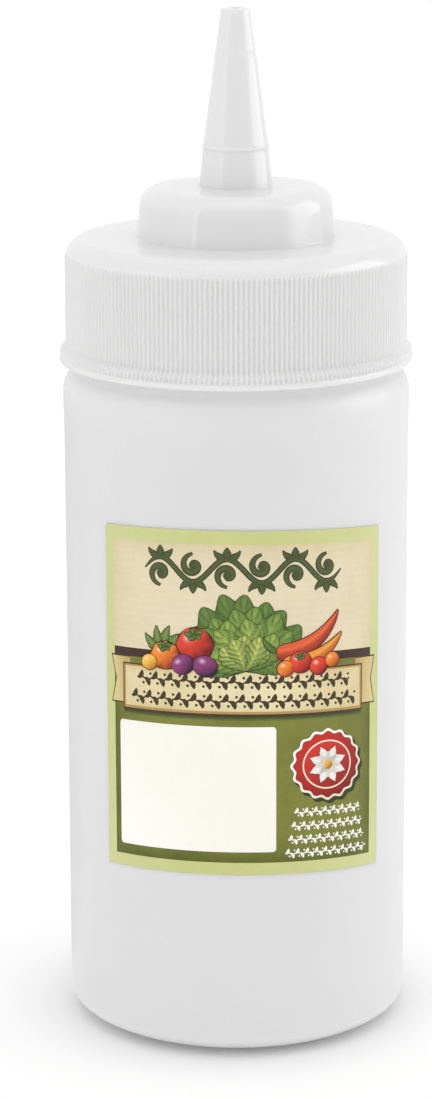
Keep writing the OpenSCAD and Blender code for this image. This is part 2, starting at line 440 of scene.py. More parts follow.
def thread_height(a, z, start):
    """Height of the ridge at angle a and height z, with its centre line at start + PITCH * turns.

    The turn number is the whole number that brings the centre line nearest to z. At distance d from that
    line, a share is (half width at the root - d) / the flank's width, held between 0 and 1. The height is
    the depth times a smooth step of that share, times another one at the ends.
    """
    part = np.mod(a, 2 * np.pi) / (2 * np.pi)
    whole = np.clip(np.round((z - start) / PITCH - part), 0, math.floor(THREAD_TURNS))
    turns = part + whole
    distance = np.abs(z - start - PITCH * turns)
    root_half = THREAD_HALF + THREAD_FLANK * THREAD_DEPTH / 2
    share = np.clip((root_half - distance) / (THREAD_FLANK * THREAD_DEPTH), 0, 1)
    rounded = share * share * (3 - 2 * share)
    end = np.clip(np.minimum(turns, THREAD_TURNS - turns) / THREAD_FADE, 0, 1)
    return THREAD_DEPTH * rounded * end * end * (3 - 2 * end)


print("ridge half a turn up its centre line", thread_height(np.array([np.pi]), PITCH / 2, 0.0))

# %% [markdown]
# ## Polyethylene
#
# The bottle is low-density polyethylene, blown against a cold mould: milky white, slightly waxy, with a
# satin skin that shows faint upright flow streaks. The cap is the same plastic injected into a polished
# mould, so it is glossier and picks up the reflection of the boss and the cone in its flat top. Light
# enters both a few millimetres, which softens every shadow. The index of refraction is 1.51.

# %% Polyethylene materials
def per_mm(size):
    """Texture scale at which one feature measures this many millimetres, as coordinates are in metres."""
    return 1 / (size * MM)


CLOUD, STRETCH = 22, 0.08   # width of the colour's clouds, and how far the flow streaks are drawn out
FLOW_SPREAD = (0.3, 0.7)    # range of the flow noise that covers the whole range of roughness
PEEL_STRENGTH, PEEL_DEPTH = 0.18, 0.02
# For the painted glow in slots: ambient occlusion within this reach, below this share of open room, makes the
# wall emit light.
SLOT_REACH = 4              # millimetres within which a facing wall closes a point in
SLOT_OPEN = 0.6             # share of open room below which a point counts as closed in


def polyethylene(name, light, dark, roughness, streak, peel, depth, inside, painted_shade_and_glow=None):
    """White polyethylene: clouded colour, streaked roughness, faint orange peel, and light inside it.

    light and dark are the two whites, roughness its lowest and highest value, streak and peel the widths
    of the flow streaks and of the orange peel in millimetres, depth how far light travels inside, and
    inside the share of light that does. painted_shade_and_glow gives a painted shade, a greyer white laid
    on a stretch of wall, the two heights in millimetres between which it sets in, and the strength of a
    painted glow there: the wall emits light in step with how closed in a point is, in place of light that
    would come through the plastic into a slot.
    """
    material, tree, shader = start_material(name)
    fill(tree, shader, {"IOR": 1.51, "Subsurface Weight": inside, "Subsurface Scale": MM,
                        "Subsurface Radius": (depth, depth * 0.96, depth * 0.9)})
    place = add_node(tree, "TexCoord").outputs["Object"]
    cloud = add_node(tree, "TexNoise", {"Vector": place, "Scale": per_mm(CLOUD), "Detail": 3.0})
    tint = add_node(tree, "Mix", {0: cloud, 6: linear(dark), 7: linear(light)}, data_type="RGBA")
    # Painted shade: a greyer white between the two heights. Painted glow: emission there, where ambient
    # occlusion finds a point closed in.
    if painted_shade_and_glow:
        white, low, high, painted_glow_strength = painted_shade_and_glow
        height = add_node(tree, "SeparateXYZ", {0: place}).outputs["Z"]
        share = add_node(tree, "MapRange", {"Value": height, "From Min": low * MM, "From Max": high * MM})
        tint = add_node(tree, "Mix", {0: share, 6: tint.outputs[2], 7: linear(white)}, data_type="RGBA")
        around = add_node(tree, "AmbientOcclusion", {"Distance": SLOT_REACH * MM}, samples=8).outputs["AO"]
        closed = add_node(tree, "MapRange", {"Value": around, "From Min": SLOT_OPEN, "From Max": 0.0,
                                             "To Max": painted_glow_strength})
        glow = add_node(tree, "Math", {0: share, 1: closed}, operation="MULTIPLY")
        fill(tree, shader, {"Emission Color": (1, 1, 1, 1), "Emission Strength": glow})
    drawn = add_node(tree, "Mapping", {"Vector": place, "Scale": (1, 1, STRETCH)})
    flow = add_node(tree, "TexNoise", {"Vector": drawn, "Scale": per_mm(streak), "Detail": 4.0})
    gloss = add_node(tree, "MapRange", {"Value": flow, "From Min": FLOW_SPREAD[0], "From Max": FLOW_SPREAD[1],
                                        "To Min": roughness[0], "To Max": roughness[1]})
    grain = add_node(tree, "TexNoise", {"Vector": place, "Scale": per_mm(peel), "Detail": 2.0})
    bump = add_node(tree, "Bump", {"Height": grain, "Strength": PEEL_STRENGTH, "Distance": PEEL_DEPTH * MM})
    fill(tree, shader, {"Base Color": tint.outputs[2], "Roughness": gloss, "Normal": bump})
    return material


# The shoulder under the cap gets a painted shade, a greyer white from 127.6 mm that is full from 131.6 mm up,
# and a painted glow in the slot under the lip.
blown_white = polyethylene("polyethylene_blow_moulded_satin", "#E8E7E7", "#E3E2E2",
                           (0.29, 0.37), streak=2.4, peel=1.1, depth=3.0, inside=0.7,
                           painted_shade_and_glow=("#E1E1E1", 127.6, 131.6, 0.46))
injected_white = polyethylene("polyethylene_injection_moulded_gloss", "#E3E3E3", "#DFDFDF",
                              (0.06, 0.1), streak=3.0, peel=1.6, depth=2.0, inside=0.3)
print("materials", blown_white.name, injected_white.name)

# %% [markdown]
# ## The bottle
#
# A blown bottle is one skin, so its inside follows its outside one wall in. Only towards the neck is it
# thicker, where the plastic was stretched least. The outline runs from the middle of the pushed-up floor,
# out over the foot ring, up the body, over the proud band and the shoulder, up the neck, and back down
# inside.
#
# Two traces of the process are modelled. The body is never a perfect cylinder: it waves by a few
# hundredths of a millimetre, which is what bends the reflections. And the two halves of the mould leave
# a fine raised line down each side.

# %% Bottle outline
BODY_R, BAND_R = 34.0, 34.1
SHOULDER_Z, RIM_Z = 131.6, 154.9
BAND_LOW, BAND_RISE = 122.4, 2.4    # where the proud band begins, and how far it takes to stand out
WALL = 1.0
HEEL_H, HEEL_REACH = 4.4, 10.6      # the oval rounding round the foot: its height, and how far it goes in
FOOT_R, RISE_R, PUSH_UP = BODY_R - HEEL_REACH, 20.4, 2.0
SLOPE_Z, SLOPE_FILLET = 129.9, 5.3  # where the shoulder's slope would meet the band, and its rounding there
INNER_FILLET = 2.5
COLLAR_R, COLLAR_Z = 31.3, 133.6    # the shoulder climbs to a low collar that closes the cap's lower edge
NECK_R, BORE_R = 30.2, 28.3
THREAD_LOW = 146.375        # centre line of the neck's thread at its lower end
NECK_THREAD = (143.7, 153.5)        # stretch of the neck that is cut finely for the thread
BOTTLE_COLUMNS = 288


def oval_corners(middle, half, start, end, steps, columns=None, wall="plain"):
    """Corners along an oval: middle + (half[0] cos t, half[1] sin t), from one angle to another."""
    turns = np.radians(np.linspace(start, end, steps + 1))
    return [corner(middle[0] + half[0] * math.cos(t), middle[1] + half[1] * math.sin(t), 0, 9, columns, wall)
            for t in turns]


heel = (FOOT_R, HEEL_H)
bottle_corners = [
    corner(0, PUSH_UP),
    corner(RISE_R - PUSH_UP, PUSH_UP, 1.5, 3),
    corner(RISE_R, 0, 0.8, 1),
    *oval_corners(heel, (HEEL_REACH, HEEL_H), -90, 0, 16),
    corner(BODY_R, BAND_LOW, 15, 3, wall="body"),
    corner(BAND_R, BAND_LOW + BAND_RISE, 15, 1),
    corner(BAND_R, SLOPE_Z, SLOPE_FILLET, 1.5),
    corner(COLLAR_R, COLLAR_Z, 0.5, 0.7),
    corner(NECK_R, COLLAR_Z, 0.3, 1),
    corner(NECK_R, NECK_THREAD[0], 0, 3),
    corner(NECK_R, NECK_THREAD[1], 0, 0.2, wall="thread"),
    corner(NECK_R, RIM_Z, 0.4, 1),
    corner(BORE_R, RIM_Z, 0.4, 1),
    corner(BORE_R, SHOULDER_Z - WALL, 0.6, 5),
    corner(BODY_R - WALL, SHOULDER_Z - WALL, INNER_FILLET, 2),
    *oval_corners(heel, (HEEL_REACH - WALL, HEEL_H - WALL), 0, -90, 10),
    corner(RISE_R, WALL, 1.0, 2),
    corner(RISE_R - PUSH_UP, PUSH_UP + WALL, 1.5, 1),
    corner(0, PUSH_UP + WALL, 0, 4),
]
print("outline points", len(trace_outline(bottle_corners, closed=False)[0]))

# %% What is moulded on the bottle
WAVE = 0.035                # how far the blown wall wanders
PARTING = 0.045             # height of the mould's parting line
PARTING_HALF = 0.16


def parting_line(a, radius):
    """A bell-shaped ridge on both sides of the bottle: height * exp(-(distance / half width) ** 2)."""
    distance = np.abs(np.sin(a)) * radius
    return PARTING * np.exp(-(distance / PARTING_HALF) ** 2)


def blown_wall(a, z):
    """Slow waves round and up the wall, which die away at both ends, plus the parting line."""
    share = (z - HEEL_H) / (BAND_LOW - HEEL_H)
    window = np.sin(np.pi * np.clip(share, 0, 1))
    waves = np.sin(2 * a + 0.7 + z / 31) + 0.7 * np.sin(3 * a - z / 19) + 0.5 * np.sin(5 * a + z / 13 + 2)
    return window * (WAVE * waves + parting_line(a, BODY_R))


def crowded_angles(n):
    """n angles that crowd towards both parting lines: u - 0.45 sin 2u, for even steps of u."""
    u = np.arange(n) * 2 * np.pi / n
    return u - 0.45 * np.sin(2 * u)


def neck_thread(a, z):
    """The neck's thread stands outwards."""
    return thread_height(a, z, THREAD_LOW)


bottle_walls = {"body": blown_wall, "thread": neck_thread}
bottle_shape = turn_outline(bottle_corners, False, BOTTLE_COLUMNS, bottle_walls, crowded_angles)
bottle = add_piece("bottle_shell", *bottle_shape, "bottle", "bottle_polyethylene", blown_white)
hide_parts("bottle")

# %% [markdown]
# ## The cap
#
# The outline starts under the bead, climbs outside over the ribbed skirt, the flat top, the boss and the
# cone to the tip, and comes back down inside through the outlet, so it closes on itself like a ring. The
# boss leans in slightly, as a mould needs in order to let go of it, and the small ring on the cone marks
# where its taper steepens.

# %% Cap outline
SKIRT_Z, LIP_TOP, BEAD_TOP = 134.0, 134.85, 136.3
BEAD_R, RIBBED_R, CREST_R = 34.7, 34.6, 33.5    # the smooth lip, the ribbed bead over it, and the skirt
BEAD_SLOPE = 0.9            # height over which the bead runs into the skirt
CAP_TOP, CAP_FILLET = 158.1, 4.0
BOSS_R, BOSS_TOP_R, BOSS_TOP, BOSS_FILLET = 19.4, 18.5, 167.9, 3.5
CONE_R, RING_R, RING_Z, RING_PROUD = 7.15, 6.35, 175.7, 0.2
RING_HALF, RING_FOOT = 0.25, 0.45   # half heights of the ring on the cone, at its crest and at its foot
TIP_R, TIP_Z, OUTLET_R, OUTLET_L = 2.8, 202.2, 1.3, 3.0
SKIRT_IN, UNDER_Z, SPOUT_WALL = 31.7, 156.3, 1.5
SCORE_Z, SCORE_HALF, SCORE_PROUD = 194.3, 0.2, 0.06     # a fine ring, where the tip may be cut shorter
CAP_THREAD = (151.9, 141.5)         # stretch inside the skirt that is cut finely for the thread
RIBS, RIB_COLUMNS = 216, 1296
RIB_START, RIB_END = 135.0, 155.4
RIB_FADES = (0.4, 0.9)      # heights over which the ribs grow over the lip and die out on top
CAP_COLUMNS, SLIM = 216, 72


def cone_radius(z):
    """Straight taper from the ring to the tip."""
    return RING_R + (TIP_R - RING_R) * (z - RING_Z) / (TIP_Z - RING_Z)


edge_middle = (CREST_R - CAP_FILLET, CAP_TOP - CAP_FILLET)
cap_corners = [
    corner(SKIRT_IN, SKIRT_Z, 0.4, 2),
    corner(BEAD_R, SKIRT_Z, 0.45, 1),
    corner(BEAD_R, LIP_TOP, 0.2, 0.5),
    corner(RIBBED_R, RIB_START, 0, 0.5),
    corner(RIBBED_R, RIB_START + RIB_FADES[0], 0, 0.1, RIB_COLUMNS, "ribs"),
    corner(RIBBED_R, BEAD_TOP, 0.9, 0.5, RIB_COLUMNS, "ribs"),
    corner(CREST_R, BEAD_TOP + BEAD_SLOPE, 1.4, 0.4, RIB_COLUMNS, "ribs"),
    *oval_corners(edge_middle, (CAP_FILLET, CAP_FILLET), 0, 20, 5, RIB_COLUMNS, "ribs"),
    *oval_corners(edge_middle, (CAP_FILLET, CAP_FILLET), 25, 90, 10),
    corner(BOSS_R, CAP_TOP, 0.3, 2.5),
    corner(BOSS_TOP_R, BOSS_TOP, BOSS_FILLET, 1),
    corner(CONE_R, BOSS_TOP, 0.3, 2),
    corner(CONE_R - 0.06, BOSS_TOP + 0.7, 0, 1, SLIM),
    corner(RING_R, RING_Z - RING_FOOT, 0.1, 1.5, SLIM),
    corner(RING_R + RING_PROUD, RING_Z - RING_HALF, 0.12, 0.5, SLIM),
    corner(RING_R + RING_PROUD, RING_Z + RING_HALF, 0.12, 0.5, SLIM),
    corner(cone_radius(RING_Z + RING_FOOT), RING_Z + RING_FOOT, 0.1, 0.5, SLIM),
    corner(cone_radius(SCORE_Z - SCORE_HALF), SCORE_Z - SCORE_HALF, 0, 2, SLIM),
    corner(cone_radius(SCORE_Z) + SCORE_PROUD, SCORE_Z, 0.05, 0.5, SLIM),
    corner(cone_radius(SCORE_Z + SCORE_HALF), SCORE_Z + SCORE_HALF, 0, 0.5, SLIM),
    corner(TIP_R, TIP_Z, 0.4, 1.5, SLIM),
    corner(OUTLET_R, TIP_Z, 0.2, 0.5, SLIM),
    corner(OUTLET_R, TIP_Z - OUTLET_L, 0.5, 1, SLIM),
    corner(CONE_R - SPOUT_WALL, BOSS_TOP - SPOUT_WALL, 0.4, 3, SLIM),
    corner(BOSS_TOP_R - SPOUT_WALL, BOSS_TOP - SPOUT_WALL, BOSS_FILLET - SPOUT_WALL, 2),
    corner(BOSS_TOP_R - SPOUT_WALL, UNDER_Z, 0.4, 2),
    corner(SKIRT_IN, UNDER_Z, 0.6, 3),
    corner(SKIRT_IN, CAP_THREAD[0], 0, 1.5),
    corner(SKIRT_IN, CAP_THREAD[1], 0, 0.2, wall="thread"),
]
print("outline points", len(trace_outline(cap_corners, closed=True)[0]))

# %% [markdown]
# ### Grip ribs
#
# The skirt carries 216 fine upright ribs, just under a millimetre apart. Each groove is a cosine dip
# between two crests. The ribs run on over the bead and die out just above its smooth lower lip, and
# again in the rounded edge above.

# %% Ribs and thread on the cap
RIB_DEPTH = 0.5


def grip_ribs(a, z):
    """Dip of the grooves: -depth * ((1 - cos(ribs * a)) / 2) ** 0.8, faded in over the lip and out on top."""
    low = np.clip((z - RIB_START) / RIB_FADES[0], 0, 1)
    high = np.clip((RIB_END - z) / RIB_FADES[1], 0, 1)
    return -RIB_DEPTH * low * high * ((1 - np.cos(RIBS * a)) / 2) ** 0.8


def cap_thread(a, z):
    """The cap's thread stands inwards, half a pitch below the neck's, so the two run past each other."""
    return -thread_height(a, z, THREAD_LOW - PITCH / 2)


cap_shape = turn_outline(cap_corners, True, CAP_COLUMNS, {"ribs": grip_ribs, "thread": cap_thread})
cap = add_piece("cap_shell", *cap_shape, "cap", "cap_polyethylene", injected_white)
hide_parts("cap")

# %% [markdown]
# ## The sealing ring
#
# A soft ring of closed-cell foam lies between the neck's rim and the cap. It is hidden once the cap is
# on, and shows from inside when the cap is off: dull, slightly grey, with fine pores.

# %% Seal
def closed_cell_foam(name, light, dark, pore):
    """Fine-pored white foam: cells a fraction of a millimetre wide in the colour and the bump."""
    material, tree, shader = start_material(name)
    place = add_node(tree, "TexCoord").outputs["Object"]
    cells = add_node(tree, "TexVoronoi", {"Vector": place, "Scale": per_mm(pore)})
    tint = add_node(tree, "Mix", {0: cells, 6: linear(dark), 7: linear(light)}, data_type="RGBA")
    bump = add_node(tree, "Bump", {"Height": cells, "Strength": 0.4, "Distance": 0.05 * MM})
    fill(tree, shader, {"Roughness": 0.75, "IOR": 1.45, "Base Color": tint.outputs[2], "Normal": bump})
    return material


seal_low, seal_high = (np.array(v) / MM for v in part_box("cap_seal"))
SEAL_R = float(seal_high[0])
SEAL_COLUMNS = 144
seal_corners = [
    corner(BORE_R, seal_low[2], 0.2, 1),
    corner(SEAL_R, seal_low[2], 0.3, 1),
    corner(SEAL_R, seal_high[2], 0.3, 0.5),
    corner(BORE_R, seal_high[2], 0.2, 1),
]
foam = closed_cell_foam("polyethylene_foam_closed_cell", "#E4E4E0", "#CFCFCA", pore=0.35)
seal = add_piece("cap_seal_ring", *turn_outline(seal_corners, True, SEAL_COLUMNS), "seal", "seal_foam", foam)
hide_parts("cap_seal")

# %% [markdown]
# ## The label
#
# The label is coated paper, printed in offset and glued round the front. It was put on by hand, a little
# askew and bowed. Every print on it is worked out flat, in millimetres along the wall (x, from straight
# ahead towards +X) and up it (z), and one function then bends the flat places round the bottle.
#
# An image could carry the print, but it would blur when seen close and would not be part of the shape.
# So each printed patch is a closed slab of its own, a few hundredths of a millimetre proud: its edge stays
# sharp at any distance. Each patch also carries its ink as a colour on its points, worked out by a formula,
# so that a fruit is round and a leaf has veins.

# %% Places on the label
LABEL_LEFT, LABEL_RIGHT, LABEL_LOW, LABEL_HIGH = -28.2, 31.75, 38.5, 107.1
GLUE, PAPER = 0.02, 0.12
INK = 0.008                 # one layer of print, thicker than real ink so that layers stay apart
SKEW, BOW = -0.017, -0.00179
GRID = 0.7                  # widest step of a patch's grid


def lay(x, z, lift):
    """Flat places to points on the wall: x / radius is the angle, and lift is added to the wavy wall.

    Askew and bowed: z + skew * (x - 1) + bow * (x - 1) ** 2.
    """
    height = z + SKEW * (x - 1) + BOW * (x - 1) ** 2
    angle = x / BODY_R - np.pi / 2
    radius = BODY_R + lift + blown_wall(angle, height)
    return np.stack([radius * np.cos(angle), radius * np.sin(angle), height], -1)


def shade(dark, light, share):
    """Linear ink between two hex colours, for an array of shares from 0 to 1."""
    share = np.clip(share, 0, 1)[..., None]
    return np.array(linear(dark)[:3]) * (1 - share) + np.array(linear(light)[:3]) * share


def press(prints, x, z, layer, ink, cloud=0.3):
    """Add one closed slab over a grid of flat places to a list of prints.

    ink is one hex colour or an array of linear ones. The front lies layer * INK over the paper and the back
    just inside it. A grid that runs clockwise is turned round first, so that every face points outwards.
    cloud is how much the ink is clouded.
    """
    ink = np.broadcast_to(linear(ink)[:3] if isinstance(ink, str) else ink, (*x.shape, 3))
    along = [np.diff(v[:, :-1], axis=0) for v in (x, z)]
    across = [np.diff(v[:-1], axis=1) for v in (x, z)]
    if (along[0] * across[1] - along[1] * across[0]).sum() < 0:
        x, z, ink = x[::-1], z[::-1], ink[::-1]
    grid = np.arange(x.size).reshape(x.shape)
    front = np.stack([grid[:-1, :-1], grid[1:, :-1], grid[1:, 1:], grid[:-1, 1:]], -1).reshape(-1, 4)
    rim = np.concatenate([grid[:-1, 0], grid[-1, :-1], grid[:0:-1, -1], grid[0, :0:-1]])
    following = np.roll(rim, -1)
    side = np.stack([rim + x.size, following + x.size, following, rim], 1)
    surface = GLUE + PAPER
    points = np.concatenate([lay(x, z, surface + layer * INK).reshape(-1, 3),
                             lay(x, z, surface - INK).reshape(-1, 3)])
    inks = np.concatenate([ink.reshape(-1, 3), np.full((x.size, 1), cloud)], 1)
    prints.append((points, np.concatenate([front, front[:, ::-1] + x.size, side]), np.tile(inks, (2, 1))))


print("label is", round(LABEL_RIGHT - LABEL_LEFT, 2), "by", round(LABEL_HIGH - LABEL_LOW, 2), "mm")

# %% [markdown]
# ### Four kinds of patch
#
# A plate with rounded corners, a band along a line, a leaf and a round: with these four grids, every
# motif on the label can be drawn. The round is a square grid pressed into a circle, so it has no pole.

# %% Grids of patches
def plate(x0, x1, z0, z1, bend=0.0):
    """A rectangle with rounded corners: the edges of a column close to a side curve in.

    They curve in by bend - sqrt(bend ** 2 - d ** 2), where bend is the corners' radius and d is how far the
    column lies inside it.
    """
    inner = np.linspace(x0 + bend, x1 - bend, math.ceil((x1 - x0) / GRID) + 1)
    end = bend * (1 - np.cos(np.radians(np.arange(0, 90, 15))))
    x = np.concatenate([x0 + end, inner, x1 - end[::-1]]) if bend else inner
    d = np.maximum(bend - np.minimum(x - x0, x1 - x), 0)
    cut = bend - np.sqrt(np.maximum(bend ** 2 - d ** 2, 0))
    t = np.linspace(0, 1, math.ceil((z1 - z0) / GRID) + 1)
    return np.repeat(x[:, None], len(t), 1), (z0 + cut)[:, None] * (1 - t) + (z1 - cut)[:, None] * t


def curved(start, end, sag, count=13):
    """Places along a bent line: the straight one, moved sideways by 4 * sag * s * (1 - s)."""
    s = np.linspace(0, 1, count)
    dx, dz = end[0] - start[0], end[1] - start[1]
    length = math.hypot(dx, dz)
    aside = 4 * sag * s * (1 - s)
    return start[0] + dx * s - dz / length * aside, start[1] + dz * s + dx / length * aside


def band(x, z, half, rows=3):
    """A band along a line: its place plus t * half width * the line's normal, for t from -1 to 1."""
    dx, dz = np.gradient(x), np.gradient(z)
    length = np.hypot(dx, dz)
    t = np.linspace(-1, 1, rows)
    wide = (half * np.ones(len(x)) / length)[:, None] * t
    return x[:, None] - dz[:, None] * wide, z[:, None] + dx[:, None] * wide


def rounded(middle, half, turn=0.0, cells=12, lobes=0, lobe=0.0):
    """A filled oval from a square grid (u, v), and its unit places p and q.

    p = u * sqrt(1 - v * v / 2), q = v * sqrt(1 - u * u / 2). Lobes swell the edge by lobe * cos(lobes * a).
    """
    u, v = np.meshgrid(np.linspace(-1, 1, cells + 1), np.linspace(-1, 1, cells + 1), indexing="ij")
    p, q = u * np.sqrt(1 - v * v / 2), v * np.sqrt(1 - u * u / 2)
    swell = 1 + lobe * (p * p + q * q) * np.cos(lobes * np.arctan2(q, p))
    c, s = math.cos(math.radians(turn)), math.sin(math.radians(turn))
    x, z = p * swell * half[0], q * swell * half[1]
    return middle[0] + c * x - s * z, middle[1] + s * x + c * z, p, q


# %% Motifs
LEAF_DARK, LEAF_LIGHT, LEAF_LINE = "#3F5F27", "#A9BE5E", "#24361A"


def leaf(prints, root, tip, width, sag, layer, dark=LEAF_DARK, light=LEAF_LIGHT, line=LEAF_LINE,
         belly=0.75):
    """A leaf with a dark edge, a pale midrib and side veins.

    The half width is width / 2 * sin(pi * s ** belly), with small waves: a belly over 1 puts the widest
    place towards the tip and rounds it. The ink's share is 0.4, plus 0.36 along the midrib, plus 0.26 * sin
    of a phase that climbs with s and falls with |t|, which draws veins, less 0.3 * t ** 4 at the edge.
    """
    count, rows = 25, 13
    x, z = curved(root, tip, sag, count)
    s = np.sin(np.linspace(0, np.pi / 2, count)) if belly > 1 else np.linspace(0, 1, count)
    x, z = np.interp(s, np.linspace(0, 1, count), x), np.interp(s, np.linspace(0, 1, count), z)
    shape = np.sin(np.pi * np.clip(s, 0.004, 0.998) ** belly) ** (0.7 if belly > 1 else 1)
    half = width / 2 * shape * (1 + 0.07 * np.sin(26 * s))
    press(prints, *band(x, z, half + 0.16), layer, line)
    t = np.abs(np.linspace(-1, 1, rows))
    veins = np.sin(2 * np.pi * (6 * s[:, None] - 1.5 * t))
    share = 0.4 + 0.36 * np.exp(-(t / 0.14) ** 2) + 0.26 * veins + 0.3 * (s[:, None] - 0.6) - 0.3 * t ** 4
    press(prints, *band(x, z, half + 0.01, rows), layer + 1, shade(dark, light, share))


def fruit(prints, middle, half, turn, layer, dark, mid, light, ribs=0, line="#2A1410"):
    """A round fruit: dark away from the light, with a highlight at the upper left and shallow ribs.

    The share of light is 0.5 - 0.38 p + 0.42 q - 0.25 r ** 4, plus ribs: 0.12 * cos(ribs * angle) * r.
    """
    press(prints, *rounded(middle, (half[0] + 0.18, half[1] + 0.18), turn)[:2], layer, line)
    x, z, p, q = rounded(middle, half, turn, 16, ribs, 0.03)
    far = np.hypot(p, q)
    share = 0.5 - 0.38 * p + 0.42 * q - 0.25 * far ** 4 + 0.12 * np.cos(ribs * np.arctan2(q, p)) * far
    ink = shade(dark, mid, share * 1.6)
    glow = np.exp(-((p + 0.36) ** 2 / 0.05 + (q - 0.42) ** 2 / 0.035))[..., None]
    ink = ink * (1 - 0.85 * glow) + np.array(linear(light)[:3]) * 0.85 * glow
    press(prints, x, z, layer + 1, ink)


def star(prints, middle, size, layer, dark="#33491E", light="#7F9A3F"):
    """The green cap of a fruit: five small leaves from one middle."""
    for angle in np.radians(np.arange(18, 378, 72)):
        tip = (middle[0] + size * math.cos(angle), middle[1] + 0.62 * size * math.sin(angle))
        leaf(prints, middle, tip, 0.55 * size, 0.12 * size, layer, dark, light)


def pod(prints, root, tip, width, sag, layer, dark, light, line="#4A1408"):
    """A curved pod that tapers to its tip, shaded as a round bar with one bright line along it.

    The half width is width / 2 * (1 - s ** 2.4) ** 0.8, with a rounded start. Across, the share of light is
    0.45 + 0.4 t, plus 0.5 * exp(-((t - 0.35) / 0.18) ** 2).
    """
    count, rows = 21, 11
    x, z = curved(root, tip, sag, count)
    s = np.linspace(0, 1, count)
    half = width / 2 * np.maximum(1 - s ** 2.4, 0.004) ** 0.8 * np.clip(s / 0.12 + 0.45, 0, 1)
    press(prints, *band(x, z, half + 0.17), layer, line)
    t = np.linspace(-1, 1, rows)
    share = (0.45 + 0.4 * t + 0.5 * np.exp(-((t - 0.35) / 0.18) ** 2)) * np.ones((count, 1))
    press(prints, *band(x, z, half + 0.01, rows), layer + 1, shade(dark, light, share))


# %% [markdown]
# ### Coated paper
#
# Semi-matt coated paper spreads its shine wide, so its roughness is about 0.45. Offset ink on it is a
# little cloudy and shows the finest grain of its dots. Both vary the printed colour by a few percent, and
# more where a patch asks for it, as the old-style green ground does. The fibre shows only as faint relief.

# %% Printed paper material
INK_CLOUD, INK_GRAIN, FIBRE = 6, 0.5, 0.35      # widths
INK_LEVELS = (0.62, 1.3)    # the printed colour is multiplied by something between these


def printed_paper(name):
    """The point colour "ink" times clouds and grain, as strongly as its alpha says."""
    material, tree, shader = start_material(name)
    ink = add_node(tree, "Attribute", attribute_name="ink").outputs
    place = add_node(tree, "TexCoord").outputs["Object"]
    cloud = add_node(tree, "TexNoise", {"Vector": place, "Scale": per_mm(INK_CLOUD), "Detail": 5.0,
                                        "Roughness": 0.65})
    grain = add_node(tree, "TexNoise", {"Vector": place, "Scale": per_mm(INK_GRAIN), "Detail": 1.0})
    both = add_node(tree, "Mix", {0: 0.25, 2: cloud, 3: grain})
    level = add_node(tree, "MapRange", {"Value": both, "From Min": 0.3, "From Max": 0.7,
                                        "To Min": INK_LEVELS[0], "To Max": INK_LEVELS[1]})
    level = add_node(tree, "Mix", {0: ink["Alpha"], 2: 1.0, 3: level})
    printed = add_node(tree, "VectorMath", {0: ink["Color"], 3: level}, operation="SCALE")
    gloss = add_node(tree, "MapRange", {"Value": cloud, "To Min": 0.38, "To Max": 0.54})
    fibre = add_node(tree, "TexNoise", {"Vector": place, "Scale": per_mm(FIBRE), "Detail": 3.0})
    bump = add_node(tree, "Bump", {"Height": fibre, "Strength": 0.2, "Distance": 0.01 * MM})
    fill(tree, shader, {"IOR": 1.5, "Specular IOR Level": 0.35, "Base Color": printed, "Roughness": gloss,
                        "Normal": bump})
    return material


label_material = printed_paper("coated_paper_offset_print_semi_matt")


def add_prints(name, prints):
    """One flat-shaded piece from a list of slabs, with their inks as a colour on its points."""
    counts = np.cumsum([0] + [len(points) for points, _, _ in prints])
    points = np.concatenate([points for points, _, _ in prints])
    faces = np.concatenate([faces + start for (_, faces, _), start in zip(prints, counts)])
    piece = add_piece(name, points, faces.tolist(), "bottle", "label_paper", label_material)
    piece.data.polygons.foreach_set("use_smooth", np.zeros(len(faces), bool))
    ink = piece.data.attributes.new("ink", "FLOAT_COLOR", "POINT")
    ink.data.foreach_set("color", np.concatenate([inks for _, _, inks in prints]).astype(np.float32).ravel())
    return piece


# %% Sheet and printed grounds
BORDER_GREEN = ("#C6CA84", "#D0D39A")
CREAM = ("#CFBC8D", "#E4D8BA")
FIELD_GREEN = ("#5B611D", "#898D3A")
BAND_BROWN = "#3A2519"
GROUND_LEFT, GROUND_RIGHT, GROUND_LOW, GROUND_HIGH = -25.95, 29.25, 40.95, 104.4
BAND_Z0, BAND_Z1 = 81.3, 83.0
WRITING_BOX = (-24.6, 7.6, 43.1, 68.4)      # left, right, low and high


def near_edge(x, z, x0, x1, z0, z1, width):
    """How close a place is to the edge of a rectangle: exp(-distance / width), 1 at the edge itself."""
    inside = np.minimum(np.minimum(x - x0, x1 - x), np.minimum(z - z0, z1 - z))
    return np.exp(-np.maximum(inside, 0) / width)


def sheet_slab():
    """The paper itself: a closed slab with its back on the glue and its front printed light green."""
    prints = []
    x, z = plate(LABEL_LEFT, LABEL_RIGHT, LABEL_LOW, LABEL_HIGH, bend=0.3)
    share = 0.5 + 0.5 * np.sin(z / 9) * np.cos(x / 14)
    press(prints, x, z, 0, shade(*BORDER_GREEN, share), cloud=0.12)
    points, faces, inks = prints[0]
    back = lay(x, z, GLUE).reshape(-1, 3)
    return [(np.concatenate([points[:x.size], back]), faces, inks)]


sheet = add_prints("label_sheet", sheet_slab())
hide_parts("label")

